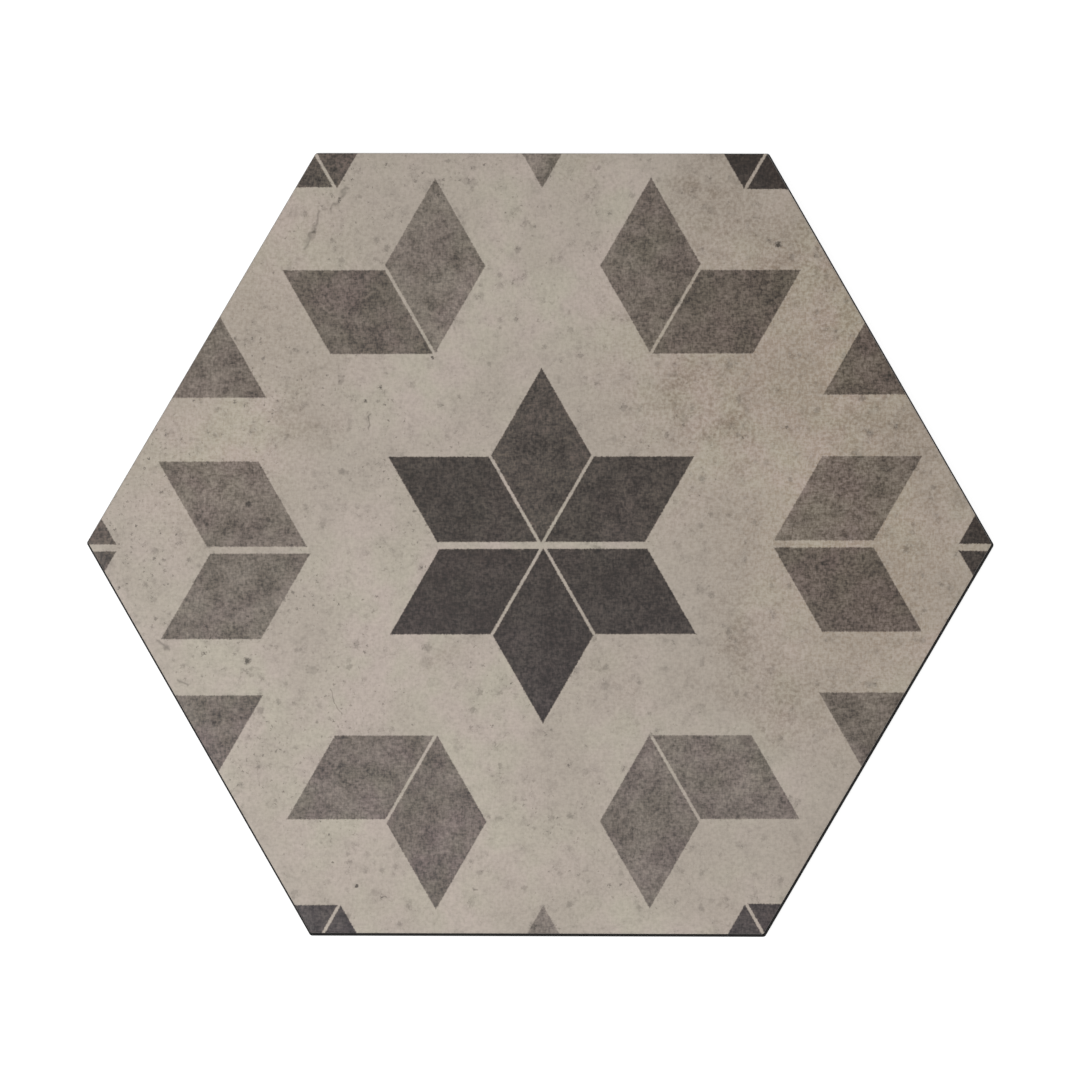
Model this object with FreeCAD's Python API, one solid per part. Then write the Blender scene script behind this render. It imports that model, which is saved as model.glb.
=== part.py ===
import FreeCAD, Part
import math
import os

# Hexagonal floor tile, dry-pressed and glazed, lying face up. It is one fired piece.
# Millimetres. +Z is up, the origin is at the tile's centre in the plane it rests on,
# and two of its corners lie on the X axis.

# Outline, measured at the parting line, which is the widest line round the edge
across_flats = 285.0
corner_radius = 1.2

# Section through the edge. The wall leans in from the parting line, up to the face
# and down to the base, so that the pressed piece leaves its mould.
thickness = 9.0
parting_height = 3.2
face_lean = 0.75
base_lean = 0.5
face_arris_radius = 0.6
base_chamfer = 0.4

# Key pattern on the underside: a honeycomb of shallow pockets, which the adhesive grips.
# It fills the base up to the plain rim, with this many rows from the middle to each side.
pocket_rows = 9
rib_width = 2.6
pocket_depth = 0.6
pocket_wall_angle = 40.0  # degrees from the vertical
plain_rim = 9.0

# Limits of the making, not sizes of the tile
arris_share_of_corner = 0.9  # a rounded arris has to be smaller than the corner it runs round
cutter_overshoot = 1.0  # a pocket's cutter starts this far below the base
height_tolerance = 1e-6

SIDES = 6
SIDE_TURN = 2 * math.pi / SIDES
HALF_TURN = SIDE_TURN / 2


def point(distance, angle, height):
    """Place a point at a distance from the Z axis, in a direction and at a height."""
    return FreeCAD.Vector(distance * math.cos(angle), distance * math.sin(angle), height)


def rounded_hexagon(half_width, height):
    """Draw the tile's outline, with corners on the X axis and rounded by corner_radius."""
    corner_distance = half_width / math.cos(HALF_TURN)
    arc_centre_distance = corner_distance - corner_radius / math.cos(HALF_TURN)
    arcs = []
    for corner in range(SIDES):
        direction = corner * SIDE_TURN
        centre = point(arc_centre_distance, direction, height)
        start = centre + point(corner_radius, direction - HALF_TURN, 0)
        middle = centre + point(corner_radius, direction, 0)
        end = centre + point(corner_radius, direction + HALF_TURN, 0)
        arcs.append((start, middle, end))
    edges = []
    for corner in range(SIDES):
        start, middle, end = arcs[corner]
        next_start = arcs[(corner + 1) % SIDES][0]
        edges.append(Part.Arc(start, middle, end).toShape())
        edges.append(Part.LineSegment(end, next_start).toShape())
    return Part.Wire(edges)


def wall_between(low_edge, high_edge):
    """Join two matching edges with a wall: flat between straight edges, ruled between arcs."""
    if not isinstance(low_edge.Curve, Part.Line):
        return Part.makeRuledSurface(low_edge, high_edge)
    corners = [vertex.Point for vertex in low_edge.Vertexes]
    corners += [vertex.Point for vertex in reversed(high_edge.Vertexes)]
    return Part.Face(Part.makePolygon(corners + corners[:1]))


def solid_between(sections):
    """Make a closed solid from flat outlines that have matching edges, lowest first."""
    underside = Part.Face(sections[0])
    underside.reverse()  # so that every face points outwards
    faces = [underside, Part.Face(sections[-1])]
    for low, high in zip(sections, sections[1:]):
        for low_edge, high_edge in zip(low.Edges, high.Edges):
            faces.append(wall_between(low_edge, high_edge))
    return Part.Solid(Part.Shell(faces))


def edges_at_height(solid, height):
    """Find the edges that lie flat at one height."""
    found = []
    for edge in solid.Edges:
        box = edge.BoundBox
        if abs(box.ZMin - height) < height_tolerance and abs(box.ZMax - height) < height_tolerance:
            found.append(edge)
    return found


def pressed_blank():
    """Make the tile's body, widest at the parting line, with its eased upper and lower edges."""
    widest = across_flats / 2
    sections = [
        rounded_hexagon(widest - base_lean, 0),
        rounded_hexagon(widest, parting_height),
        rounded_hexagon(widest - face_lean, thickness),
    ]
    blank = solid_between(sections)
    arris = min(face_arris_radius, arris_share_of_corner * corner_radius)
    blank = blank.makeFillet(arris, edges_at_height(blank, thickness))
    return blank.makeChamfer(base_chamfer, edges_at_height(blank, 0))


def pocket_pitch():
    """Space the pockets so that the outermost ones touch the plain rim with their corners."""
    room = across_flats / 2 - base_lean - base_chamfer - plain_rim
    centre_to_corner = 1 / (2 * math.cos(HALF_TURN))  # for each unit of a hexagon's width
    pitches_in_room = pocket_rows * math.sin(SIDE_TURN) + centre_to_corner
    return (room + rib_width * centre_to_corner) / pitches_in_room


def pocket_outline(across, height):
    """Draw a pocket's hexagon with a corner towards +Y, so that ribs run along the tile's rows."""
    corner_distance = across / 2 / math.cos(HALF_TURN)
    corners = []
    for corner in range(SIDES + 1):
        corners.append(point(corner_distance, corner * SIDE_TURN + HALF_TURN, height))
    return Part.makePolygon(corners)


def pocket_cutter():
    """Make the punch for one pocket, which narrows as it goes up into the tile."""
    mouth = pocket_pitch() - rib_width
    narrowing = 2 * math.tan(math.radians(pocket_wall_angle))
    low = pocket_outline(mouth + narrowing * cutter_overshoot, -cutter_overshoot)
    high = pocket_outline(mouth - narrowing * pocket_depth, pocket_depth)
    return solid_between([low, high])


def pocket_centres():
    """List the pocket centres: rows of a honeycomb that together make a hexagon like the tile's."""
    pitch = pocket_pitch()
    centres = []
    for row in range(-pocket_rows, pocket_rows + 1):
        for column in range(-pocket_rows, pocket_rows + 1):
            if abs(row + column) <= pocket_rows:
                along_x = pitch * (column + row / 2)
                along_y = pitch * row * math.sin(SIDE_TURN)
                centres.append(FreeCAD.Vector(along_x, along_y, 0))
    return centres


def hexagon_tile():
    """Press the honeycomb of pockets into the underside of the blank."""
    cutter = pocket_cutter()
    cutters = []
    for centre in pocket_centres():
        copy = cutter.copy()
        copy.translate(centre)
        cutters.append(copy)
    return pressed_blank().cut(Part.makeCompound(cutters))


os.makedirs("parts", exist_ok=True)
tile = hexagon_tile().Solids[0]
tile.exportStep("parts/hexagon_tile.step")
box = tile.BoundBox
print("size", round(box.XLength, 3), round(box.YLength, 3), round(box.ZLength, 3))
print("pocket pitch", round(pocket_pitch(), 3), "volume cm3", round(tile.Volume / 1000, 2))
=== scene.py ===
import math

import bpy
from mathutils import Matrix, Vector


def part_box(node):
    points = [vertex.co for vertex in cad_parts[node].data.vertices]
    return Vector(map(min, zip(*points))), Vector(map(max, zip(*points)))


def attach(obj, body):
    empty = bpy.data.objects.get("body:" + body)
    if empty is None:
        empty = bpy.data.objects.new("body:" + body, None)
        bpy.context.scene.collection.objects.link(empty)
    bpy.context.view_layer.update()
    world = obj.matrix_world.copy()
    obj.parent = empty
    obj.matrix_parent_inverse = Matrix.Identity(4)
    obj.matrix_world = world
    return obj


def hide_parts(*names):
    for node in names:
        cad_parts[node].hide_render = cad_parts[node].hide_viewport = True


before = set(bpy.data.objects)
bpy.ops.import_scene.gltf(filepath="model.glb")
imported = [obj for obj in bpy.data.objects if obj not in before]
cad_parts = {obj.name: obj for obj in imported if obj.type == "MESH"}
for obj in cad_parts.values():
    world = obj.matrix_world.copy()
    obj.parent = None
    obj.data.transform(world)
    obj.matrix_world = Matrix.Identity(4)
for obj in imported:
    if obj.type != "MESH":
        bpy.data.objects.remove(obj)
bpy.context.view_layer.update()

# Hexagonal floor tile with a printed satin glaze, lying face up. What is modelled is in metres,
# and a size that is written in millimetres is multiplied by MM. What its print and its finishes
# are drawn from is in millimetres.
MM = 0.001
SIDES = 6
SIDE_TURN = math.radians(60)  # from one side of a hexagon to the next
HALF_TURN = math.radians(30)  # half of that

# Sizes of the tile, as its solid has them
frame_low, frame_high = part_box("hexagon_tile")
HALF_WIDTH = (frame_high[1] - frame_low[1]) / 2  # from the middle to a flat side, at its widest line
THICKNESS = frame_high[2] - frame_low[2]
CORNER_RADIUS = 1.2 * MM
PARTING_HEIGHT = 3.2 * MM
FACE_LEAN = 0.75 * MM  # the wall leans in this much from its parting line to the face
BASE_LEAN = 0.5 * MM  # and this much from there to the base
BASE_CHAMFER = 0.4 * MM
ARRIS_RADIUS = 0.6 * MM
POCKET_ROWS = 9  # on each side of the middle row
POCKET_DEPTH = 0.6 * MM
POCKET_WALL_ANGLE = math.radians(40)
RIB_WIDTH = 2.6 * MM
PLAIN_RIM = 9.0 * MM

# Fine shape that the solid leaves out
CROWN_DROP = 0.22 * MM  # the glazed face falls this much towards its edges
CROWN_WIDTH = 7.0 * MM
CROWN_RINGS = 6
ARRIS_STEPS = 5
GLAZE_LINE = THICKNESS - 0.9 * MM  # the glaze runs over the arris and down the wall to here
CORNER_STEPS = 6
SIDE_PARTS = 40  # each side is divided into this many lengths
GRID_CUTS = (2, 49)  # the face is divided twice over, into triangles about a millimetre across
GRID_MARGIN = 1.0 * MM  # from the crown's last ring in to the face's triangles
POCKET_CORNER = 1.0 * MM
POCKET_EASING = 0.12 * MM  # width of the small chamfers round a pocket's mouth and floor
WELD_DISTANCE = 0.02 * MM  # points of neighbouring pockets that are nearer than this are one
SMOOTH_ANGLE = math.radians(28)  # faces that meet at less than this are shaded as one curve

# Unevenness of the glazed face: its name, the size of its forms, and how deep they go
FACE_RELIEF = [
    ("slow_waves", 38.0 * MM, 0.05 * MM),
    ("dapple", 4.5 * MM, 0.035 * MM),
    ("fine_dapple", 2.2 * MM, 0.014 * MM),
]

# The print: rhombi whose edges all run level or 60 degrees to either side of that.
# Its sizes are in millimetres, its directions in degrees anticlockwise from the picture's right,
# and its places are to the right of and above the star's middle.
RHOMBUS_WIDTH = 32.0  # between two parallel edges
SLANTING_JOINT = 1.05
LEVEL_JOINT = 2.5
PRINT_SHARPNESS = 2.6  # how steeply the ink goes from nothing to full, per millimetre
PRINT_OFFSET = (0.8, -1.0)  # the print isn't quite in the middle of the tile
PRINT_SKEW = math.radians(-0.2)  # nor quite in line with it
PRINT_SCALE = (1.0, 1.0095)  # it came out a little larger one way than the other
EDGE_TURN = 30  # between the long axis of a rhombus and its edges
BAND_TURN = 60  # between that axis and the directions across its two bands
ACROSS_EDGES = (90, 150, 30)  # across the level edges and the two sets of slanting ones

# The star's rhombi: the direction that each one points in, how far it is printed to the right
# of its place, and how much ink is on it
STAR = [
    (30, -0.15, 0.95),
    (90, -0.15, 0.915),
    (150, -0.15, 0.965),
    (210, 0.65, 0.99),
    (270, 0.65, 0.98),
    (330, 0.65, 0.97),
]

# Pairs of rhombi on either side of a joint. Each row has the place where the joint starts and its
# direction, the ink on the rhombi to its right and left, how far the left one is printed to the
# right of its place, how far the level edges are from that place, and how far the slanting ones
# of each rhombus are.
PAIRS = [
    ((-39.0, 69.1), 120, (0.625, 0.76), 0.0, (0.0, 30.3), (31.7, 32.7)),
    ((39.4, 69.1), 60, (0.77, 0.715), 0.0, (0.0, 30.1), (32.1, 31.8)),
    ((-84.3, -1.6), 180, (0.66, 0.675), 1.2, (LEVEL_JOINT / 2, 32.0), (31.4, 31.4)),
    ((83.4, 0.4), 0, (0.77, 0.64), 0.0, (LEVEL_JOINT / 2, 31.6), (31.3, 31.3)),
    ((-37.9, -67.8), 240, (0.71, 0.75), 0.0, (0.6, 30.7), (31.5, 31.6)),
    ((39.5, -67.8), 300, (0.68, 0.65), 0.0, (0.6, 30.7), (31.4, 31.5)),
    ((-74.9, 128.4), 120, (0.845, 0.85), 0.0, (1.0, 31.0), (32.0, 32.0)),
    ((73.4, 128.1), 60, (1.0, 1.0), 0.0, (0.3, 31.0), (32.0, 32.0)),
    ((-153.5, -0.7), 180, (0.83, 0.865), 0.0, (LEVEL_JOINT / 2, 32.0), (32.0, 32.0)),
    ((150.4, -0.9), 0, (0.975, 0.99), 0.0, (LEVEL_JOINT / 2, 32.0), (32.0, 32.0)),
    ((-72.6, -128.9), 240, (0.955, 0.965), 0.0, (0.4, 31.0), (32.0, 32.0)),
    ((74.2, -128.7), 300, (0.96, 0.95), 0.0, (0.3, 31.0), (32.0, 32.0)),
]

# Single rhombi: the place of the pointed end, the direction it points away in, and the ink
SINGLES = [
    ((-100.0, 53.4), 150, 0.665),
    ((102.0, 54.2), 30, 0.755),
    ((-100.9, -53.9), 210, 0.745),
    ((100.6, -53.1), 330, 0.665),
    ((-0.1, 129.0), 90, 0.61),
    ((1.0, -129.6), 270, 0.545),
]

# Where the ground is warmer and a little darker: place, radius and strength
WARMTH = [
    ((100.0, 62.0), 95.0, 0.71),
    ((122.0, -24.0), 68.0, 0.60),
    ((-104.0, 88.0), 60.0, 0.22),
    ((-118.0, 30.0), 40.0, 0.32),
]

# Torn grey-brown stains over the ground: place, radius and strength
STAINS = [
    ((-86.0, 47.0), 17.0, 0.45),
    ((-86.0, 115.0), 22.0, 0.1),
    ((14.0, 137.0), 16.0, 0.3),
    ((60.0, 128.0), 24.0, 0.7),
    ((84.0, 106.0), 26.0, 0.7),
    ((100.0, 96.0), 22.0, 0.5),
    ((106.0, 84.0), 14.0, 0.4),
    ((49.0, 62.0), 17.0, 0.7),
    ((66.0, 57.0), 19.0, 0.32),
    ((52.0, 47.0), 16.0, 0.34),
    ((65.0, 41.0), 11.0, 0.9),
    ((88.0, 56.0), 20.0, 0.2),
    ((119.0, 44.0), 20.0, 0.5),
    ((136.0, 40.0), 16.0, 0.4),
    ((150.0, 18.0), 15.0, 0.3),
    ((50.0, 12.0), 12.0, 0.15),
    ((69.0, -32.0), 16.0, 0.7),
    ((86.0, -48.0), 22.0, 0.5),
    ((91.0, -62.0), 14.0, 0.5),
    ((64.0, -50.0), 20.0, 0.3),
    ((30.0, -50.0), 16.0, 0.3),
    ((96.0, -112.0), 16.0, 0.2),
    ((130.0, 8.0), 20.0, 0.15),
    ((-38.0, -39.0), 10.0, 0.3),
    ((66.0, -132.0), 16.0, 0.3),
]

# Spots that are dark right through the print: place, radius and strength
SPOTS = [
    ((85.6, 108.4), 1.6, 0.95),
    ((-39.7, 67.8), 1.0, 0.8),
    ((-38.4, 70.2), 0.7, 0.7),
    ((-58.6, 57.0), 0.9, 0.9),
    ((-64.0, 52.0), 0.8, 0.7),
    ((-59.2, 52.0), 0.9, 0.35),
    ((-56.1, 78.6), 0.8, 0.6),
    ((-37.9, 126.7), 0.7, 0.7),
    ((-30.0, 53.6), 0.8, 0.4),
    ((-106.3, 15.0), 1.6, 0.75),
    ((-99.3, 9.5), 1.0, 0.6),
    ((-106.5, -41.5), 1.7, 0.85),
    ((-64.0, -38.3), 0.8, 0.6),
    ((-59.7, -18.2), 0.7, 0.6),
    ((-122.1, -38.6), 1.0, 0.6),
    ((-101.0, -47.9), 1.0, 0.4),
    ((-90.1, -16.8), 0.9, 0.5),
    ((-96.4, -7.7), 1.1, 0.5),
    ((-92.4, -49.8), 1.4, 0.25),
    ((-41.6, -42.2), 2.6, 0.2),
    ((-140.6, -4.5), 0.9, 0.6),
    ((-137.0, -4.9), 0.8, 0.4),
    ((-136.7, -8.9), 0.8, 0.4),
    ((-157.7, -4.2), 0.9, 0.5),
    ((-143.2, -14.3), 1.1, 0.35),
    ((-139.9, -26.3), 0.9, 0.5),
    ((-141.0, -28.9), 0.8, 0.4),
    ((-62.8, -111.0), 1.6, 0.25),
    ((-57.5, -117.0), 1.3, 0.3),
    ((-52.5, -115.6), 1.3, 0.3),
    ((-118.5, -63.8), 1.1, 0.7),
    ((-17.6, -64.9), 0.7, 0.7),
    ((-66.6, -122.4), 0.8, 0.8),
    ((88.8, 42.6), 0.7, 0.6),
    ((72.9, 38.7), 0.7, 0.7),
    ((10.0, -79.3), 0.7, 0.7),
    ((61.2, -69.2), 0.7, 0.7),
    ((24.9, -122.4), 0.7, 0.6),
]

# Scratches and smears: the two ends, the distance from the middle line to where it has faded out,
# and the strength
SCRATCHES = [
    ((-71.0, 129.1), (-76.6, 121.2), 1.0, 0.4),
    ((-80.7, 120.6), (-83.2, 113.4), 1.0, 0.45),
    ((-83.2, 113.4), (-86.2, 107.4), 1.3, 0.45),
    ((-123.3, 15.0), (-123.5, 9.0), 0.6, 0.45),
    ((-131.5, -48.3), (-128.4, -50.2), 0.8, 0.5),
    ((-139.2, -34.3), (-135.0, -37.3), 0.8, 0.5),
    ((117.0, -50.2), (121.5, -50.0), 0.7, 0.3),
    ((111.0, -49.5), (113.0, -49.6), 0.6, 0.2),
    ((-62.6, 47.0), (-62.9, 42.6), 0.5, 0.5),
    ((-76.4, -52.0), (-74.6, -57.6), 0.3, 0.5),
    ((-74.6, -57.6), (-72.0, -61.3), 0.3, 0.45),
    ((-57.9, -126.4), (-56.3, -126.6), 0.4, 0.6),
    ((-24.2, -124.1), (-22.6, -124.3), 0.4, 0.6),
]

# Small dots, scattered by chance: the place that their pattern is taken from, how far apart the
# places for them are, the size of the largest, how steeply they rise from their edge, and strength
PINPOINTS = ((0, 0, 0), 1.5, 0.85, 3.0, 0.75)
PITS = ((31, 47, 0), 5.0, 2.0, 2.2, 0.60)
SMUDGES = ((63, 11, 0), 3.2, 3.0, 1.1, 0.32)
PITS_SHARE = 0.7  # of the share of places that have a pinpoint
MORE_TO_THE_LEFT = 0.0012  # how fast that share grows to the left, per millimetre
HAIRLINE_SHARPNESS = 60.0
HAIRLINE_STRENGTH = 0.45
DARKEST_MARK = 0.9

# How far an outline wanders: the size of the noise that moves it, and how far it moves
STAIN_TEARS = [(16.0, 26.0), (4.0, 8.0)]
MARK_RAGGEDNESS = (0.55, 1.5)
SCRATCH_WAVINESS = (2.2, 2.4)

# The part of its radius over which a spot fades out
WASH_SOFTNESS = 0.95
SPOT_SOFTNESS = 0.7

# Noise patterns: the place each is taken from, so that those of like size differ, the size of its
# forms, its detail and its roughness
PRINT_PATTERNS = {
    "ground clouds": ((0, 0, 0), 42.0, 3.0, 0.5),
    "ground tint": ((71, 13, 5), 16.0, 3.0, 0.5),
    "mottling": ((17, 31, 9), 5.5, 4.0, 0.66),
    "sand": ((9, 4, 61), 1.2, 2.0, 0.65),
    "stain breaks": ((0, 0, 0), 6.0, 5.0, 0.7),
    "crowding": ((5, 77, 2), 34.0, 1.0, 0.5),
    "ink clouds": ((83, 29, 4), 14.0, 4.0, 0.62),
    "ink tint": ((41, 3, 8), 17.0, 2.0, 0.5),
    "ink edge": ((0, 0, 0), 0.6, 1.0, 0.5),
    "glaze grit": ((0, 0, 0), 0.45, 1.0, 0.5),
}
BODY_PATTERNS = {
    "body clouds": ((0, 0, 0), 18.0, 3.0, 0.5),
    "body grain": ((0, 0, 0), 0.6, 3.0, 0.65),
    "scuffs": ((0, 0, 0), 2.4, 4.0, 0.7),
}
LINEN = ((3, 59, 7), 0.72, 1.0, 0.7)
LINEN_THREADS = [(0.35, 1.2, 1), (1.2, 0.35, 1)]  # its noise is drawn out one way, then the other
HAIRLINES = ((7, 19, 83), 4.5, 1.0, 0.5)

# What the patterns do: the pattern, two values of it, and what it comes to at each of them.
# The rows of a list are added up, or multiplied where its comment says so.
PINKISH_SHARE = ("ground tint", (0.36, 0.64), (0.0, 1.0))
GREY_SHARE = ("ground clouds", (0.34, 0.68), (0.0, 1.0))
GROUND_SHADE = [
    ("mottling", (0.45, 0.75), (1.02, 0.90)),
    ("sand", (0.3, 0.8), (0.05, -0.13)),
    ("linen", (0.35, 0.65), (0.04, -0.04)),
]
WARMTH_GRAIN = [  # multiplied
    ("sand", (0.28, 0.72), (0.35, 1.6)),
    ("linen", (0.35, 0.65), (0.5, 1.5)),
]
STAIN_GRAIN = [  # multiplied
    ("stain breaks", (0.3, 0.7), (0.25, 1.2)),
    ("sand", (0.25, 0.75), (0.4, 1.45)),
]
RAGGED_EDGE = ("ink edge", (0.2, 0.8), (0.1, 0.9))
INK_WEAR = [
    ("linen", (0.32, 0.68), (-0.26, 0.26)),
    ("sand", (0.35, 0.75), (-0.20, 0.35)),
    ("mottling", (0.3, 0.7), (-0.26, 0.26)),
    ("ink clouds", (0.3, 0.7), (-0.24, 0.24)),
]
UNWORN_COVER = 1.07  # the nearer the ink is to this, the less it is worn
PURPLISH_SHARE = ("ink tint", (0.38, 0.62), (0.0, 1.0))
INK_GRAIN = [
    ("sand", (0.3, 0.7), (0.80, 0.25)),
    ("linen", (0.35, 0.65), (0.75, 0.25)),
]
PINPOINT_SHARE = ("crowding", (0.35, 0.65), (0.17, 0.52))
SMUDGE_SHARE = ("mottling", (0.40, 0.62), (0.20, 0.70))
HAIRLINE_SHARE = ("mottling", (0.56, 0.66), (0.0, 1.0))
GLAZE_ROUGHNESS = ("mottling", (0.2, 0.8), (0.41, 0.50))
BODY_LIGHT_SHARE = ("body clouds", (0.3, 0.7), (0.0, 1.0))
BODY_GRAIN_SHARE = ("body grain", (0.35, 0.8), (0.0, 0.5))
COAT_EDGE = ("body grain", (0.2, 0.8), (-0.12, 0.12))  # how uneven the ends of coat and dust are
COAT_THICKNESS = [  # multiplied
    ("body clouds", (0.3, 0.7), (0.65, 1.0)),
    ("scuffs", (0.3, 0.6), (0.7, 1.0)),
]
BODY_ROUGHNESS = ("body grain", (0.2, 0.8), (0.85, 0.95))

GLAZE_SPECULAR = 0.35
BODY_SPECULAR = 0.05
GLAZE_GRIT_HEIGHT = 0.010  # of the glaze's fine tooth, in millimetres
BODY_GRIT_HEIGHT = 0.06

# Colours of the glaze's print. Inks, stains and marks multiply what is under them.
GROUND_GREENISH = (0.391, 0.352, 0.287, 1)
GROUND_PINKISH = (0.409, 0.346, 0.303, 1)
GROUND_GREY = (0.354, 0.307, 0.259, 1)
WARM_TINT = (0.85, 0.78, 0.70, 1)
STAIN_TINT = (0.69, 0.65, 0.605, 1)
THIN_INK = (0.086, 0.062, 0.036, 1)
THIN_INK_PURPLISH = (0.106, 0.061, 0.058, 1)
FULL_INK = (0.077, 0.062, 0.056, 1)
FULL_INK_COVER = (0.75, 0.95)  # between these covers thin ink turns into full ink
COLD_TINT = (1.0, 1.04, 1.5, 1)
COLD_RISE = (-135.0, 30.0)  # the cold tint of the ink fades out between these heights on the print
MARK_TINT = (0.10, 0.09, 0.08, 1)

# Colours of the wall and the underside. The body's three tones are its own dark colour, darkened further to
# near black as painted shade on the wall.
BODY_DARK_WITH_SHADE = (0.0025, 0.0022, 0.0018, 1)
BODY_LIGHTER_WITH_SHADE = (0.0045, 0.004, 0.0034, 1)
BODY_GRAIN_WITH_SHADE = (0.010, 0.009, 0.008, 1)
ENGOBE = (0.175, 0.165, 0.151, 1)
ENGOBE_RISE = (0.12, 0.42)  # the roller leaves its coat on the ribs and the rim, up to about here
DUST = (0.030, 0.028, 0.025, 1)
DUST_RISE = (0.7, 1.6)  # kiln dust lies in the pockets and fades out between these heights
DUST_COVER = 0.8  # how much of the body it hides at most

# Framing, from the picture's size and where the tile is in it
PICTURE_PIXELS = 1080
PIXELS_PER_METRE = 2762.0
TILE_PIXEL = (539.3, 542.6)  # the tile's middle, in pixels from the picture's upper left corner
CAMERA_DISTANCE = 8.0
CAMERA_BACK = math.radians(5.5)  # the camera stands this far off the vertical, below the picture's foot
CAMERA_RIGHT = math.radians(2.4)  # and this far to the right of it
CAMERA_ROLL = math.radians(0.35)  # turned anticlockwise, so that the picture turns clockwise
SENSOR_WIDTH = 36.0

# Floor and light
FLOOR_SIZE = 8.0
FLOOR_COLOUR = (0.3, 0.3, 0.3, 1)
FLOOR_ROUGHNESS = 0.9
FLOOR_GLOW = 0.86
WHITE = (1.0, 1.0, 1.0, 1)
SOFTBOX_FROM = math.radians(215)  # the direction it stands in, anticlockwise from the picture's right
SOFTBOX_ELEVATION = math.radians(63)
SOFTBOX_DISTANCE = 1.0
SOFTBOX_SIZE = 0.6
SOFTBOX_POWER = 5.0
ROOM_LIGHT = 0.66


def deselect_all():
    """Leave nothing selected, because an operator acts on all that is."""
    if bpy.context.object and bpy.context.object.mode != "OBJECT":
        bpy.ops.object.mode_set(mode="OBJECT")
    bpy.ops.object.select_all(action="DESELECT")


def work_on(piece):
    """Select one piece alone and make it active."""
    deselect_all()
    piece.select_set(True)
    bpy.context.view_layer.objects.active = piece


def edit(piece, select_mode):
    """Open a piece in edit mode with nothing selected in it."""
    work_on(piece)
    bpy.ops.object.mode_set(mode="EDIT")
    bpy.ops.mesh.select_mode(type=select_mode)
    bpy.ops.mesh.select_all(action="DESELECT")


def stop_editing():
    """Go back to object mode."""
    bpy.ops.object.mode_set(mode="OBJECT")


def select_edges(piece, wanted):
    """Select the edges whose two ends pass a test, and open the piece in edit mode."""
    edit(piece, "EDGE")
    stop_editing()
    mesh = piece.data
    for edge in mesh.edges:
        start, end = (mesh.vertices[index].co for index in edge.vertices)
        edge.select = wanted(start, end)
    bpy.ops.object.mode_set(mode="EDIT")


def select_faces(piece, wanted):
    """Select the faces whose middle passes a test, and open the piece in edit mode."""
    edit(piece, "FACE")
    stop_editing()
    for face in piece.data.polygons:
        face.select = wanted(face.center)
    bpy.ops.object.mode_set(mode="EDIT")


def select_open_edges(piece):
    """Select every edge that only one face meets."""
    edit(piece, "EDGE")
    bpy.ops.mesh.select_non_manifold(
        extend=False, use_wire=False, use_boundary=True,
        use_multi_face=False, use_non_contiguous=False, use_verts=False,
    )


def add_hexagon(name, half_width, height, fill, corners_on_x):
    """Add a flat hexagon of a given half width, with corners on the X axis or on the Y axis."""
    deselect_all()
    turn = HALF_TURN if corners_on_x else 0
    bpy.ops.mesh.primitive_circle_add(
        vertices=SIDES, radius=half_width / math.cos(HALF_TURN), fill_type=fill,
        location=(0, 0, height), rotation=(0, 0, turn),
    )
    piece = bpy.context.object
    piece.name = name
    piece.data.name = name
    bpy.ops.object.transform_apply(location=True, rotation=True, scale=True)
    return piece


def cut_corners(piece, radius, steps):
    """Round the corners of a flat hexagon to a radius."""
    edit(piece, "VERT")
    bpy.ops.mesh.select_all(action="SELECT")
    bpy.ops.mesh.bevel(
        offset_type="OFFSET", offset=radius * math.tan(HALF_TURN), segments=steps,
        affect="VERTICES", profile=0.5,
    )
    stop_editing()


def draw_in(from_half, to_half, rise):
    """Extrude the selected face upwards and scale it to its next half width."""
    bpy.ops.mesh.extrude_region_move(TRANSFORM_OT_translate={"value": (0, 0, rise)})
    scale = to_half / from_half
    bpy.ops.transform.resize(value=(scale, scale, 1), center_override=(0, 0, 0))


def follow_profile(profile):
    """Extrude the selected face through a list of half widths and heights."""
    for (half, height), (next_half, next_height) in zip(profile, profile[1:]):
        draw_in(half, next_half, next_height - height)


def edge_profile():
    """List the tile's edge as half widths and heights, from the base to the crown of the face."""
    glaze_share = (GLAZE_LINE - PARTING_HEIGHT) / (THICKNESS - PARTING_HEIGHT)
    profile = [
        (HALF_WIDTH - BASE_LEAN - BASE_CHAMFER, 0),
        (HALF_WIDTH - BASE_LEAN * (1 - BASE_CHAMFER / PARTING_HEIGHT), BASE_CHAMFER),
        (HALF_WIDTH, PARTING_HEIGHT),
        (HALF_WIDTH - FACE_LEAN * glaze_share, GLAZE_LINE),
    ]
    lean = math.atan(FACE_LEAN / (THICKNESS - PARTING_HEIGHT))
    centre_height = THICKNESS - CROWN_DROP - ARRIS_RADIUS
    reach = HALF_WIDTH * math.cos(lean) + PARTING_HEIGHT * math.sin(lean) - ARRIS_RADIUS
    centre_half = (reach - centre_height * math.sin(lean)) / math.cos(lean)
    for step in range(ARRIS_STEPS):
        turn = lean + (math.pi / 2 - lean) * step / (ARRIS_STEPS - 1)
        half = centre_half + ARRIS_RADIUS * math.cos(turn)
        profile.append((half, centre_height + ARRIS_RADIUS * math.sin(turn)))
    for ring in range(1, CROWN_RINGS + 1):
        along = ring / CROWN_RINGS
        drop = CROWN_DROP * (1 - along) ** 2
        profile.append((centre_half - CROWN_WIDTH * along, THICKNESS - drop))
    return profile


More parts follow.
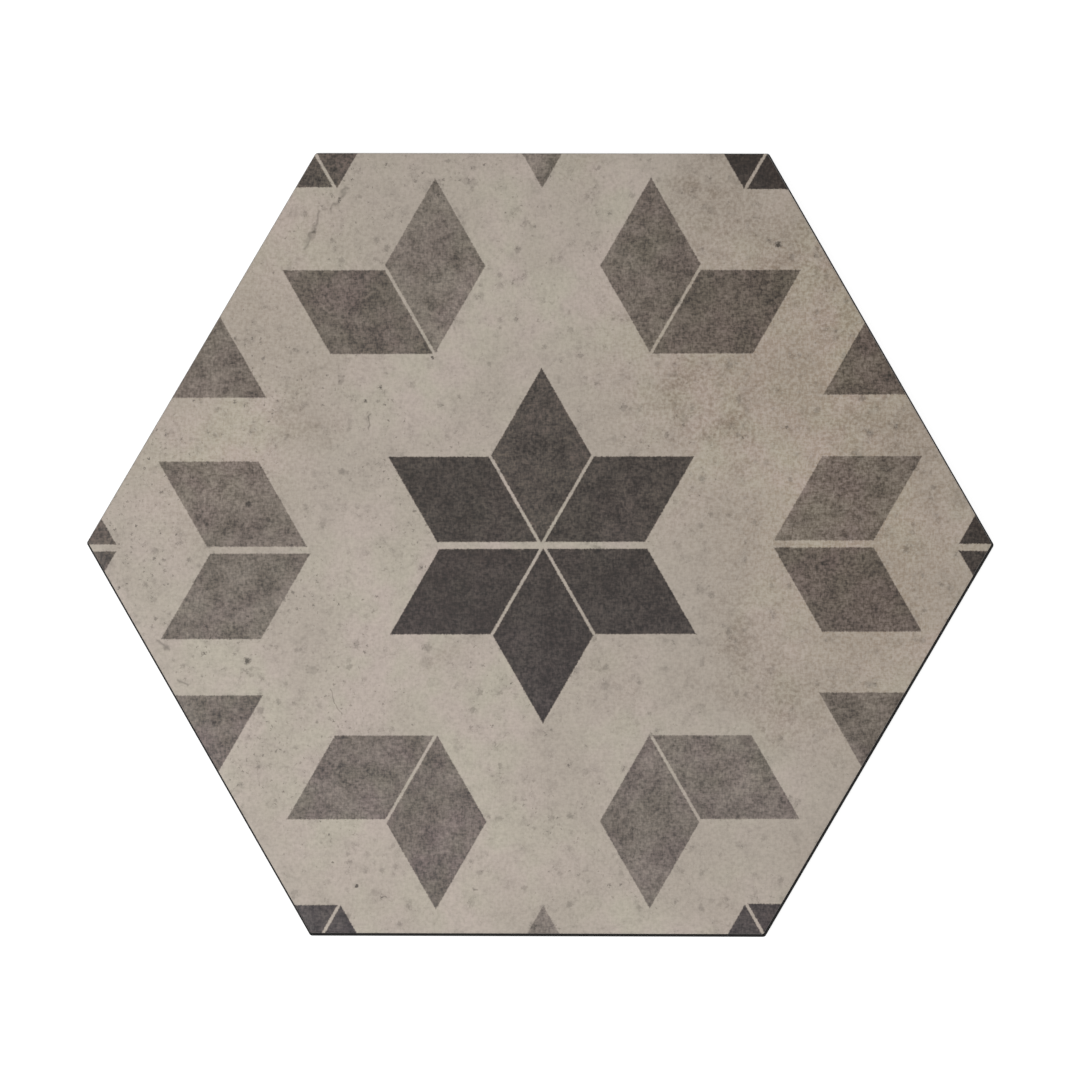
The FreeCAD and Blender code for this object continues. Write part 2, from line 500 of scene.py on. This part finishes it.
def tile_edge():
    """Model the base edge, wall, rounded arris and crown, open at the face and at the base."""
    profile = edge_profile()
    piece = add_hexagon("pressed_tile", profile[0][0], 0, "NGON", corners_on_x=True)
    cut_corners(piece, CORNER_RADIUS, CORNER_STEPS)
    select_edges(piece, lambda start, end: (end - start).length > HALF_WIDTH / 2)
    bpy.ops.mesh.subdivide(number_cuts=SIDE_PARTS - 1)
    bpy.ops.mesh.select_mode(type="FACE")
    bpy.ops.mesh.select_all(action="SELECT")
    follow_profile(profile)
    select_faces(piece, lambda middle: Vector((middle.x, middle.y)).length < HALF_WIDTH / 4)
    bpy.ops.mesh.delete(type="FACE")
    stop_editing()
    return piece


def glazed_face(half_width):
    """Model the face as an even net of small triangles, dappled as pressed and glazed clay is."""
    piece = add_hexagon("glazed_face", half_width, THICKNESS, "TRIFAN", corners_on_x=True)
    edit(piece, "FACE")
    bpy.ops.mesh.select_all(action="SELECT")
    for cuts in GRID_CUTS:
        bpy.ops.mesh.subdivide(number_cuts=cuts)
    stop_editing()
    for name, size, depth in FACE_RELIEF:
        texture = bpy.data.textures.new(name, "CLOUDS")
        texture.noise_scale = size
        texture.noise_depth = 1
        relief = piece.modifiers.new(name, "DISPLACE")
        relief.texture = texture
        relief.texture_coords = "LOCAL"
        relief.direction = "Z"
        relief.mid_level = 1.0
        relief.strength = depth
        bpy.ops.object.modifier_apply(modifier=name)
    return piece


def pocket_pitch():
    """Space the pockets so that the outermost ones touch the plain rim with their corners."""
    room = HALF_WIDTH - BASE_LEAN - BASE_CHAMFER - PLAIN_RIM
    centre_to_corner = 1 / (2 * math.cos(HALF_TURN))
    pitches_in_room = POCKET_ROWS * math.sin(SIDE_TURN) + centre_to_corner
    return (room + RIB_WIDTH * centre_to_corner) / pitches_in_room


def pocket_cell():
    """Model one pocket with its share of the ribs round it."""
    half_pitch = pocket_pitch() / 2
    slope = math.tan(POCKET_WALL_ANGLE)
    mouth = half_pitch - RIB_WIDTH / 2
    cell = add_hexagon("pocket_row", half_pitch, 0, "NGON", corners_on_x=False)
    cut_corners(cell, POCKET_CORNER + RIB_WIDTH / 2, 1)
    edit(cell, "FACE")
    bpy.ops.mesh.select_all(action="SELECT")
    bpy.ops.mesh.inset(thickness=RIB_WIDTH / 2 - POCKET_EASING, depth=0)
    follow_profile([
        (mouth + POCKET_EASING, 0),
        (mouth - POCKET_EASING * slope, POCKET_EASING),
        (mouth - (POCKET_DEPTH - POCKET_EASING) * slope, POCKET_DEPTH - POCKET_EASING),
        (mouth - POCKET_DEPTH * slope - POCKET_EASING, POCKET_DEPTH),
    ])
    stop_editing()
    return cell


def pocket_row(cell, row):
    """Copy the pocket along one row, counted from the middle one: the rows get shorter outwards."""
    pitch = pocket_pitch()
    count = 2 * POCKET_ROWS + 1 - abs(row)
    copy = cell.copy()
    copy.data = cell.data.copy()
    bpy.context.collection.objects.link(copy)
    copy.location = (-pitch * (count - 1) / 2, pitch * row * math.sin(SIDE_TURN), 0)
    work_on(copy)
    array = copy.modifiers.new("row", "ARRAY")
    array.count = count
    array.use_relative_offset = False
    array.use_constant_offset = True
    array.constant_offset_displace = (pitch, 0, 0)
    bpy.ops.object.modifier_apply(modifier="row")
    return copy


def honeycomb():
    """Fill a hexagon with rows of pockets, and close the gaps where three ribs meet."""
    cell = pocket_cell()
    rows = [pocket_row(cell, row) for row in range(-POCKET_ROWS, POCKET_ROWS + 1)]
    work_on(rows[0])
    for copy in rows:
        copy.select_set(True)
    bpy.ops.object.join()
    bpy.data.objects.remove(cell)
    underside = bpy.context.object
    bpy.ops.object.transform_apply(location=True, rotation=True, scale=True)
    edit(underside, "VERT")
    bpy.ops.mesh.select_all(action="SELECT")
    bpy.ops.mesh.remove_doubles(threshold=WELD_DISTANCE)
    bpy.ops.mesh.select_all(action="SELECT")
    bpy.ops.mesh.fill_holes(sides=3)
    stop_editing()
    return underside


def close_between_loops(piece, near_height):
    """Fill the flat ring between the two open loops at one height."""
    select_open_edges(piece)
    stop_editing()
    mesh = piece.data
    for edge in mesh.edges:
        if edge.select:
            height = mesh.vertices[edge.vertices[0]].co.z
            edge.select = abs(height - near_height) < THICKNESS / 4
    bpy.ops.object.mode_set(mode="EDIT")
    bpy.ops.mesh.fill(use_beauty=True)
    stop_editing()


def finish_faces(tile):
    """Glaze the face and the top of the wall, and leave the rest of the tile as fired."""
    tile.data.materials.append(printed_glaze())
    tile.data.materials.append(fired_body())
    for polygon in tile.data.polygons:
        polygon.material_index = 0 if polygon.center.z > GLAZE_LINE else 1
    work_on(tile)
    bpy.ops.object.shade_smooth_by_angle(angle=SMOOTH_ANGLE)


def pressed_tile():
    """Model the whole tile as one closed skin, with its two finishes."""
    edge = tile_edge()
    face = glazed_face(edge_profile()[-1][0] - GRID_MARGIN)
    underside = honeycomb()
    work_on(edge)
    face.select_set(True)
    underside.select_set(True)
    bpy.ops.object.join()
    tile = bpy.context.object
    close_between_loops(tile, THICKNESS)
    close_between_loops(tile, 0)
    edit(tile, "FACE")
    bpy.ops.mesh.select_all(action="SELECT")
    bpy.ops.mesh.normals_make_consistent(inside=False)
    stop_editing()
    finish_faces(tile)
    return tile


def feed(tree, socket, value):
    """Link a socket to another node's output, or give it a fixed value."""
    if isinstance(value, bpy.types.NodeSocket):
        tree.links.new(value, socket)
    else:
        socket.default_value = value


def calculate(tree, operation, *values, clamp=False):
    """Add a Math node and return its result, kept between 0 and 1 if clamp is true."""
    node = tree.nodes.new("ShaderNodeMath")
    node.operation = operation
    node.use_clamp = clamp
    for socket, value in zip(node.inputs, values):
        feed(tree, socket, value)
    return node.outputs[0]


def calculate_vector(tree, operation, *values):
    """Add a Vector Math node and return its outputs."""
    node = tree.nodes.new("ShaderNodeVectorMath")
    node.operation = operation
    for socket, value in zip(node.inputs, values):
        feed(tree, socket, value)
    return node.outputs


def combine(tree, operation, values):
    """Join any number of values, one after another, with the same operation."""
    total = values[0]
    for value in values[1:]:
        total = calculate(tree, operation, total, value)
    return total


def split(tree, vector):
    """Take a vector apart and return its X, Y and Z."""
    node = tree.nodes.new("ShaderNodeSeparateXYZ")
    tree.links.new(vector, node.inputs[0])
    return node.outputs


def fade(tree, value, start, end, low=0.0, high=1.0):
    """Turn a value smoothly from low to high as it goes from start to end."""
    node = tree.nodes.new("ShaderNodeMapRange")
    node.interpolation_type = "SMOOTHSTEP"
    for name, part in (("From Min", start), ("From Max", end), ("To Min", low), ("To Max", high)):
        feed(tree, node.inputs[name], part)
    feed(tree, node.inputs["Value"], value)
    return node.outputs["Result"]


def mix(tree, amount, first, second, blend="MIX"):
    """Mix two colours and return the result."""
    node = tree.nodes.new("ShaderNodeMix")
    node.data_type = "RGBA"
    node.blend_type = blend
    feed(tree, node.inputs[0], amount)
    feed(tree, node.inputs[6], first)
    feed(tree, node.inputs[7], second)
    return node.outputs[2]


def move_coordinates(tree, coordinates, place=(0, 0, 0), turn=0.0, scale=(1, 1, 1)):
    """Scale coordinates, then turn them, then shift them, with a Mapping node."""
    node = tree.nodes.new("ShaderNodeMapping")
    feed(tree, node.inputs["Vector"], coordinates)
    node.inputs["Location"].default_value = place
    node.inputs["Rotation"].default_value = (0, 0, turn)
    node.inputs["Scale"].default_value = scale
    return node.outputs["Vector"]


def noise_node(tree, coordinates, size, detail, roughness):
    """Add a Noise Texture whose forms have a given size, and return its outputs."""
    node = tree.nodes.new("ShaderNodeTexNoise")
    feed(tree, node.inputs["Vector"], coordinates)
    node.inputs["Scale"].default_value = 1 / size
    node.inputs["Detail"].default_value = detail
    node.inputs["Roughness"].default_value = roughness
    return node.outputs


def pattern(tree, coordinates, described):
    """Add one noise pattern as its row describes it, and return its value."""
    place, size, detail, roughness = described
    moved = move_coordinates(tree, coordinates, place=place)
    return noise_node(tree, moved, size, detail, roughness)["Fac"]


def all_patterns(tree, coordinates, described):
    """Add every noise pattern of a table, and return them by name."""
    return {name: pattern(tree, coordinates, row) for name, row in described.items()}


def read_off(tree, patterns, row):
    """Read one pattern as its row says: between two of its values, and what they come to."""
    name, between, become = row
    return fade(tree, patterns[name], *between, *become)


def read_off_all(tree, patterns, rows):
    """Read several patterns, each as its row says."""
    return [read_off(tree, patterns, row) for row in rows]


def new_material(name):
    """Start a material with its shader, and return it with its coordinates in millimetres."""
    material = bpy.data.materials.new(name)
    material.use_nodes = True
    tree = material.node_tree
    shader = tree.nodes["Principled BSDF"]
    metres = tree.nodes.new("ShaderNodeTexCoord").outputs["Object"]
    in_millimetres = (1 / MM, 1 / MM, 1 / MM)
    return material, tree, shader, calculate_vector(tree, "MULTIPLY", metres, in_millimetres)["Vector"]


def roughen(tree, shader, grain, height):
    """Give a finish a fine bump that follows a grain: its height is in millimetres."""
    bump = tree.nodes.new("ShaderNodeBump")
    bump.inputs["Strength"].default_value = 1.0
    bump.inputs["Distance"].default_value = MM
    tree.links.new(calculate(tree, "MULTIPLY", grain, height), bump.inputs["Height"])
    tree.links.new(bump.outputs["Normal"], shader.inputs["Normal"])


def new_group(name, vectors, numbers):
    """Start a node group with named inputs, and return it with its input sockets."""
    tree = bpy.data.node_groups.new(name, "ShaderNodeTree")
    for kind, labels in (("NodeSocketVector", vectors), ("NodeSocketFloat", numbers)):
        for label in labels:
            tree.interface.new_socket(label, in_out="INPUT", socket_type=kind)
    return tree, tree.nodes.new("NodeGroupInput").outputs


def group_output(tree, value):
    """Give a node group its one output: how much it covers."""
    tree.interface.new_socket("cover", in_out="OUTPUT", socket_type="NodeSocketFloat")
    node = tree.nodes.new("NodeGroupOutput")
    tree.links.new(value, node.inputs[0])


def use_group(tree, group, **values):
    """Put a node group to use with these inputs, and return its output."""
    node = tree.nodes.new("ShaderNodeGroup")
    node.node_tree = group
    for label, value in values.items():
        feed(tree, node.inputs[label.replace("_", " ")], value)
    return node.outputs[0]


def rhombus_group():
    """Make the node group that prints one rhombus: where two bands cross, and how dark it is there."""
    tree, inputs = new_group("rhombus", [], [
        "first", "first middle", "first half", "second", "second middle", "second half", "edge", "tone",
    ])
    depths = []
    for band_name in ("first", "second"):
        offset = calculate(tree, "SUBTRACT", inputs[band_name], inputs[band_name + " middle"])
        distance = calculate(tree, "ABSOLUTE", offset)
        depths.append(calculate(tree, "SUBTRACT", inputs[band_name + " half"], distance))
    depth = calculate(tree, "MINIMUM", *depths)
    edge = calculate(tree, "MULTIPLY_ADD", depth, PRINT_SHARPNESS, inputs["edge"], clamp=True)
    group_output(tree, calculate(tree, "MULTIPLY", edge, inputs["tone"]))
    return tree


def spot_group():
    """Make the node group for a soft spot: full at its place and gone at its radius."""
    tree, inputs = new_group("spot", ["coordinates", "place"], ["steepness", "top", "strength"])
    distance = calculate_vector(tree, "DISTANCE", inputs["coordinates"], inputs["place"])["Value"]
    body = calculate(tree, "MULTIPLY_ADD", distance, inputs["steepness"], inputs["top"], clamp=True)
    group_output(tree, calculate(tree, "MULTIPLY", body, inputs["strength"]))
    return tree


def add_spot(tree, group, coordinates, place, radius, strength, softness):
    """Put one spot at its place: softness 1 fades from its middle, and less keeps a full core."""
    return use_group(
        tree, group, coordinates=coordinates, place=on_face(place), steepness=-1 / (radius * softness),
        top=1 / softness, strength=strength,
    )


def scratch_group():
    """Make the node group for a straight mark, given its middle, direction and half sizes."""
    tree, inputs = new_group(
        "scratch", ["coordinates", "middle"], ["direction", "half length", "half width", "strength"],
    )
    offset = calculate_vector(tree, "SUBTRACT", inputs["coordinates"], inputs["middle"])["Vector"]
    turned = tree.nodes.new("ShaderNodeVectorRotate")
    turned.rotation_type = "Z_AXIS"
    tree.links.new(offset, turned.inputs["Vector"])
    tree.links.new(calculate(tree, "MULTIPLY", inputs["direction"], -1.0), turned.inputs["Angle"])
    parts = split(tree, turned.outputs["Vector"])
    rooms = []
    for half, part in (("half length", "X"), ("half width", "Y")):
        distance = calculate(tree, "ABSOLUTE", parts[part])
        rooms.append(calculate(tree, "SUBTRACT", inputs[half], distance))
    room = calculate(tree, "MINIMUM", *rooms)
    line = calculate(tree, "DIVIDE", room, inputs["half width"], clamp=True)
    group_output(tree, calculate(tree, "MULTIPLY", line, inputs["strength"]))
    return tree


def add_scratch(tree, group, coordinates, start, end, width, strength):
    """Put one scratch between its two ends."""
    run = Vector(end) - Vector(start)
    middle = (Vector(start) + Vector(end)) / 2
    return use_group(
        tree, group, coordinates=coordinates, middle=on_face(middle), direction=math.atan2(run.y, run.x),
        half_length=run.length / 2 + width, half_width=width, strength=strength,
    )


def on_face(place):
    """Turn a place on the print into a point at the height of the face."""
    return (place[0], place[1], THICKNESS / MM)


def unit_vector(degrees):
    """Turn a direction on the print into a vector."""
    return Vector((math.cos(math.radians(degrees)), math.sin(math.radians(degrees)), 0))


def band(place, towards, near, far):
    """Describe the band between two parallel edges, near and far from a place in one direction:
    the direction across it, its middle along that direction, and half its width.
    """
    across = towards % 180
    sign = 1 if towards % 360 < 180 else -1
    middle = Vector((*place, 0)).dot(unit_vector(across)) + sign * (near + far) / 2
    return across, middle, (far - near) / 2


def rhombus(place, axis, right, left, tone):
    """Describe the rhombus that points away from a place as its two bands and its tone."""
    return band(place, axis + BAND_TURN, *right), band(place, axis - BAND_TURN, *left), tone


def star_rhombi():
    """List the rhombi of the star, with half a joint left free on both sides of each."""
    listed = []
    for axis, slip, tone in STAR:
        edges = []
        for edge in (axis - EDGE_TURN, axis + EDGE_TURN):
            joint = LEVEL_JOINT if edge % 180 == 0 else SLANTING_JOINT
            edges.append((joint / 2, RHOMBUS_WIDTH))
        listed.append(rhombus((slip, 0), axis, *edges, tone))
    return listed


def paired_rhombi():
    """List the rhombi on either side of each pair's joint."""
    listed = []
    for place, joint, tones, left_slip, level, far_edges in PAIRS:
        axes = (joint - EDGE_TURN, joint + EDGE_TURN)
        for axis, tone, slip, far in zip(axes, tones, (0, left_slip), far_edges):
            edges = []
            for edge in (axis - EDGE_TURN, axis + EDGE_TURN):
                if edge % 180 == 0:
                    edges.append(level)
                elif edge == joint:
                    edges.append((SLANTING_JOINT / 2, far))
                else:
                    edges.append((0.0, far))
            listed.append(rhombus((place[0] + slip, place[1]), axis, *edges, tone))
    return listed


def single_rhombi():
    """List the rhombi that stand alone."""
    edges = (0.0, RHOMBUS_WIDTH)
    return [rhombus(place, axis, edges, edges, tone) for place, axis, tone in SINGLES]


def print_cover(tree, coordinates, raggedness):
    """Print all the rhombi, and return how much ink lies on each point."""
    distances = {}
    for across in ACROSS_EDGES:
        distances[across] = calculate_vector(tree, "DOT_PRODUCT", coordinates, unit_vector(across))["Value"]
    group = rhombus_group()
    covers = []
    for first, second, tone in star_rhombi() + paired_rhombi() + single_rhombi():
        covers.append(use_group(
            tree, group, first=distances[first[0]], first_middle=first[1], first_half=first[2],
            second=distances[second[0]], second_middle=second[1], second_half=second[2],
            edge=raggedness, tone=tone,
        ))
    return combine(tree, "ADD", covers)


def weave(tree, coordinates):
    """Make a fine pattern of short level and upright strokes, like coarse linen."""
    strokes = []
    for threads in LINEN_THREADS:
        strokes.append(pattern(tree, move_coordinates(tree, coordinates, scale=threads), LINEN))
    return calculate(tree, "MULTIPLY", combine(tree, "ADD", strokes), 1 / len(strokes))


def concrete(tree, patterns):
    """Make the beige ground of the print: clouds, mottling and grain, before any mark or ink."""
    ground = mix(tree, read_off(tree, patterns, PINKISH_SHARE), GROUND_GREENISH, GROUND_PINKISH)
    ground = mix(tree, read_off(tree, patterns, GREY_SHARE), ground, GROUND_GREY)
    shade = combine(tree, "ADD", read_off_all(tree, patterns, GROUND_SHADE))
    return mix(tree, 1.0, ground, shade, blend="MULTIPLY")


def shaken(tree, coordinates, size, reach):
    """Shift coordinates to and fro by a noise, so that what reads them has a ragged outline."""
    colour = noise_node(tree, coordinates, size, 0.0, 0.5)["Color"]
    centred = calculate_vector(tree, "SUBTRACT", colour, (0.5, 0.5, 0.5))["Vector"]
    return calculate_vector(tree, "MULTIPLY_ADD", centred, (reach, reach, 0), coordinates)["Vector"]


def washed(tree, coordinates, patterns, spot, ground):
    """Lay a warm tint over the ground, and over that the stains, torn and sandy as a wash is."""
    torn = coordinates
    for size, reach in STAIN_TEARS:
        torn = shaken(tree, torn, size, reach)
    for washes, where, grain, tint in (
        (WARMTH, coordinates, WARMTH_GRAIN, WARM_TINT),
        (STAINS, torn, STAIN_GRAIN, STAIN_TINT),
    ):
        spots = [add_spot(tree, spot, where, *wash, WASH_SOFTNESS) for wash in washes]
        grainy = combine(tree, "MULTIPLY", read_off_all(tree, patterns, grain))
        amount = calculate(tree, "MULTIPLY", combine(tree, "ADD", spots), grainy, clamp=True)
        ground = mix(tree, amount, ground, tint, blend="MULTIPLY")
    return ground


def worn_ink(tree, patterns, cover):
    """Wear the ink: thin ink is mottled and flecked, and full ink is nearly even."""
    wear = combine(tree, "ADD", read_off_all(tree, patterns, INK_WEAR))
    thinness = calculate(tree, "SUBTRACT", UNWORN_COVER, cover)
    change = combine(tree, "MULTIPLY", [thinness, cover, wear])
    return calculate(tree, "ADD", cover, change, clamp=True)


def ink_colour(tree, coordinates, patterns, cover):
    """Colour the ink: thin ink is mottled brown, full ink more even, and both are colder low down."""
    ink = mix(tree, read_off(tree, patterns, PURPLISH_SHARE), THIN_INK, THIN_INK_PURPLISH)
    ink = mix(tree, fade(tree, cover, *FULL_INK_COVER), ink, FULL_INK)
    cold = fade(tree, split(tree, coordinates)["Y"], *COLD_RISE, 1.0, 0.0)
    ink = mix(tree, cold, ink, COLD_TINT, blend="MULTIPLY")
    grain = combine(tree, "ADD", read_off_all(tree, patterns, INK_GRAIN))
    return mix(tree, 1.0, ink, grain, blend="MULTIPLY")


def speckle(tree, coordinates, share, dots):
    """Scatter one sort of small dots, of all sizes and strengths, over a share of their places."""
    place, spacing, size, steepness, strength = dots
    node = tree.nodes.new("ShaderNodeTexVoronoi")
    node.voronoi_dimensions = "2D"
    feed(tree, node.inputs["Vector"], move_coordinates(tree, coordinates, place=place))
    node.inputs["Scale"].default_value = 1 / spacing
    chance = split(tree, node.outputs["Color"])
    left = calculate(tree, "ADD", chance["X"], calculate(tree, "SUBTRACT", share, 1.0))
    radius = calculate(tree, "MULTIPLY", left, size / spacing)
    inside = calculate(tree, "SUBTRACT", radius, node.outputs["Distance"])
    dot = calculate(tree, "MULTIPLY", inside, steepness * spacing, clamp=True)
    return combine(tree, "MULTIPLY", [dot, chance["Y"], strength])


def hairlines(tree, coordinates, patterns):
    """Draw short curved hairlines where a noise has its middle value and the mottling is high."""
    contour = pattern(tree, coordinates, HAIRLINES)
    off_line = calculate(tree, "ABSOLUTE", calculate(tree, "SUBTRACT", contour, 0.5))
    line = calculate(tree, "MULTIPLY_ADD", off_line, -HAIRLINE_SHARPNESS, 1.0, clamp=True)
    return combine(tree, "MULTIPLY", [line, read_off(tree, patterns, HAIRLINE_SHARE), HAIRLINE_STRENGTH])


def scattered_marks(tree, coordinates, ragged, patterns):
    """List the small marks that are placed by chance: three sorts of dots, and hairlines."""
    leftwards = calculate(tree, "MULTIPLY", split(tree, coordinates)["X"], -MORE_TO_THE_LEFT)
    share = calculate(tree, "ADD", read_off(tree, patterns, PINPOINT_SHARE), leftwards)
    return [
        speckle(tree, ragged, share, PINPOINTS),
        speckle(tree, ragged, calculate(tree, "MULTIPLY", share, PITS_SHARE), PITS),
        speckle(tree, ragged, read_off(tree, patterns, SMUDGE_SHARE), SMUDGES),
        hairlines(tree, ragged, patterns),
    ]


def marks(tree, coordinates, patterns, spot):
    """Gather the dark dots, hairlines, spots and scratches that lie over ground and ink alike."""
    ragged = shaken(tree, coordinates, *MARK_RAGGEDNESS)
    wavy = shaken(tree, coordinates, *SCRATCH_WAVINESS)
    scratch = scratch_group()
    gathered = scattered_marks(tree, coordinates, ragged, patterns)
    gathered += [add_spot(tree, spot, ragged, *row, SPOT_SOFTNESS) for row in SPOTS]
    gathered += [add_scratch(tree, scratch, wavy, *row) for row in SCRATCHES]
    return calculate(tree, "MINIMUM", combine(tree, "ADD", gathered), DARKEST_MARK)


def printed_glaze():
    """Make the finish of the face: a concrete-look print with rhombi under a satin glaze."""
    material, tree, shader, whole = new_material("printed_glaze")
    coordinates = move_coordinates(
        tree, whole, place=(-PRINT_OFFSET[0], -PRINT_OFFSET[1], 0), turn=PRINT_SKEW,
        scale=(1 / PRINT_SCALE[0], 1 / PRINT_SCALE[1], 1),
    )
    patterns = all_patterns(tree, coordinates, PRINT_PATTERNS)
    patterns["linen"] = weave(tree, coordinates)
    spot = spot_group()
    ground = washed(tree, coordinates, patterns, spot, concrete(tree, patterns))
    cover = print_cover(tree, coordinates, read_off(tree, patterns, RAGGED_EDGE))
    cover = worn_ink(tree, patterns, cover)
    ink = ink_colour(tree, coordinates, patterns, cover)
    printed = mix(tree, cover, ground, ink, blend="MULTIPLY")
    marked = mix(tree, marks(tree, coordinates, patterns, spot), printed, MARK_TINT, blend="MULTIPLY")
    tree.links.new(marked, shader.inputs["Base Color"])
    tree.links.new(read_off(tree, patterns, GLAZE_ROUGHNESS), shader.inputs["Roughness"])
    shader.inputs["Specular IOR Level"].default_value = GLAZE_SPECULAR
    roughen(tree, shader, patterns["glaze grit"], GLAZE_GRIT_HEIGHT)
    return material


def fired_body():
    """Make the finish of the wall and underside: dark porcelain, darkened to near black as painted shade on
    the wall, with a pale coat rolled on its ribs.
    """
    material, tree, shader, whole = new_material("fired_body")
    patterns = all_patterns(tree, whole, BODY_PATTERNS)
    # the body tones are near black: the porcelain's own dark colour with painted shade for the wall
    body = mix(tree, read_off(tree, patterns, BODY_LIGHT_SHARE), BODY_DARK_WITH_SHADE, BODY_LIGHTER_WITH_SHADE)
    body = mix(tree, read_off(tree, patterns, BODY_GRAIN_SHARE), body, BODY_GRAIN_WITH_SHADE)
    height = calculate(tree, "ADD", split(tree, whole)["Z"], read_off(tree, patterns, COAT_EDGE))
    body = mix(tree, fade(tree, height, *DUST_RISE, DUST_COVER, 0.0), body, DUST)
    thickness = combine(tree, "MULTIPLY", read_off_all(tree, patterns, COAT_THICKNESS))
    rolled = calculate(tree, "MULTIPLY", fade(tree, height, *ENGOBE_RISE, 1.0, 0.0), thickness)
    tree.links.new(mix(tree, rolled, body, ENGOBE), shader.inputs["Base Color"])
    tree.links.new(read_off(tree, patterns, BODY_ROUGHNESS), shader.inputs["Roughness"])
    shader.inputs["Specular IOR Level"].default_value = BODY_SPECULAR
    roughen(tree, shader, patterns["body grain"], BODY_GRIT_HEIGHT)
    return material


def pale_floor():
    """Lay the plain pale floor that the tile rests on."""
    deselect_all()
    bpy.ops.mesh.primitive_plane_add(size=FLOOR_SIZE, location=(0, 0, 0))
    floor = bpy.context.object
    floor.name = "studio_floor"
    material = bpy.data.materials.new("pale_floor")
    material.use_nodes = True
    shader = material.node_tree.nodes["Principled BSDF"]
    shader.inputs["Base Color"].default_value = FLOOR_COLOUR
    shader.inputs["Roughness"].default_value = FLOOR_ROUGHNESS
    shader.inputs["Emission Color"].default_value = WHITE
    shader.inputs["Emission Strength"].default_value = FLOOR_GLOW
    floor.data.materials.append(material)


def studio_light():
    """Light the tile with one softbox, high on the lower left, and an even pale room."""
    height = math.sin(SOFTBOX_ELEVATION)
    reach = math.cos(SOFTBOX_ELEVATION)
    towards = Vector((reach * math.cos(SOFTBOX_FROM), reach * math.sin(SOFTBOX_FROM), height))
    softbox = bpy.data.lights.new("softbox", "AREA")
    softbox.shape = "SQUARE"
    softbox.size = SOFTBOX_SIZE
    softbox.energy = SOFTBOX_POWER
    lamp = bpy.data.objects.new("softbox", softbox)
    lamp.location = towards * SOFTBOX_DISTANCE
    lamp.rotation_mode = "QUATERNION"
    lamp.rotation_quaternion = towards.to_track_quat("Z", "Y")
    lamp.visible_camera = False
    bpy.context.collection.objects.link(lamp)

    world = bpy.data.worlds.new("pale_room")
    world.use_nodes = True
    background = world.node_tree.nodes["Background"]
    background.inputs["Color"].default_value = WHITE
    background.inputs["Strength"].default_value = ROOM_LIGHT
    bpy.context.scene.world = world
    bpy.context.scene.view_settings.view_transform = "Standard"


def photo_camera():
    """Look down on the tile from far off, a little from the picture's lower right."""
    middle = PICTURE_PIXELS / 2
    aim = Vector((
        (middle - TILE_PIXEL[0]) / PIXELS_PER_METRE,
        (TILE_PIXEL[1] - middle) / PIXELS_PER_METRE,
        THICKNESS,
    ))
    back = Vector((math.tan(CAMERA_RIGHT), -math.tan(CAMERA_BACK), 1)).normalized()
    lens = bpy.data.cameras.new("photo_camera")
    lens.sensor_width = SENSOR_WIDTH
    lens.lens = SENSOR_WIDTH * CAMERA_DISTANCE * PIXELS_PER_METRE / PICTURE_PIXELS
    camera = bpy.data.objects.new("photo_camera", lens)
    camera.rotation_mode = "QUATERNION"
    camera.location = aim + back * CAMERA_DISTANCE
    right = Vector((0, 1, 0)).cross(back).normalized()
    upright = Matrix((right, back.cross(right), back)).transposed()
    camera.rotation_quaternion = (upright @ Matrix.Rotation(CAMERA_ROLL, 3, "Z")).to_quaternion()
    bpy.context.collection.objects.link(camera)
    bpy.context.scene.camera = camera


tile = pressed_tile()
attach(tile, "root")
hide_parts("hexagon_tile")
pale_floor()
studio_light()
photo_camera()
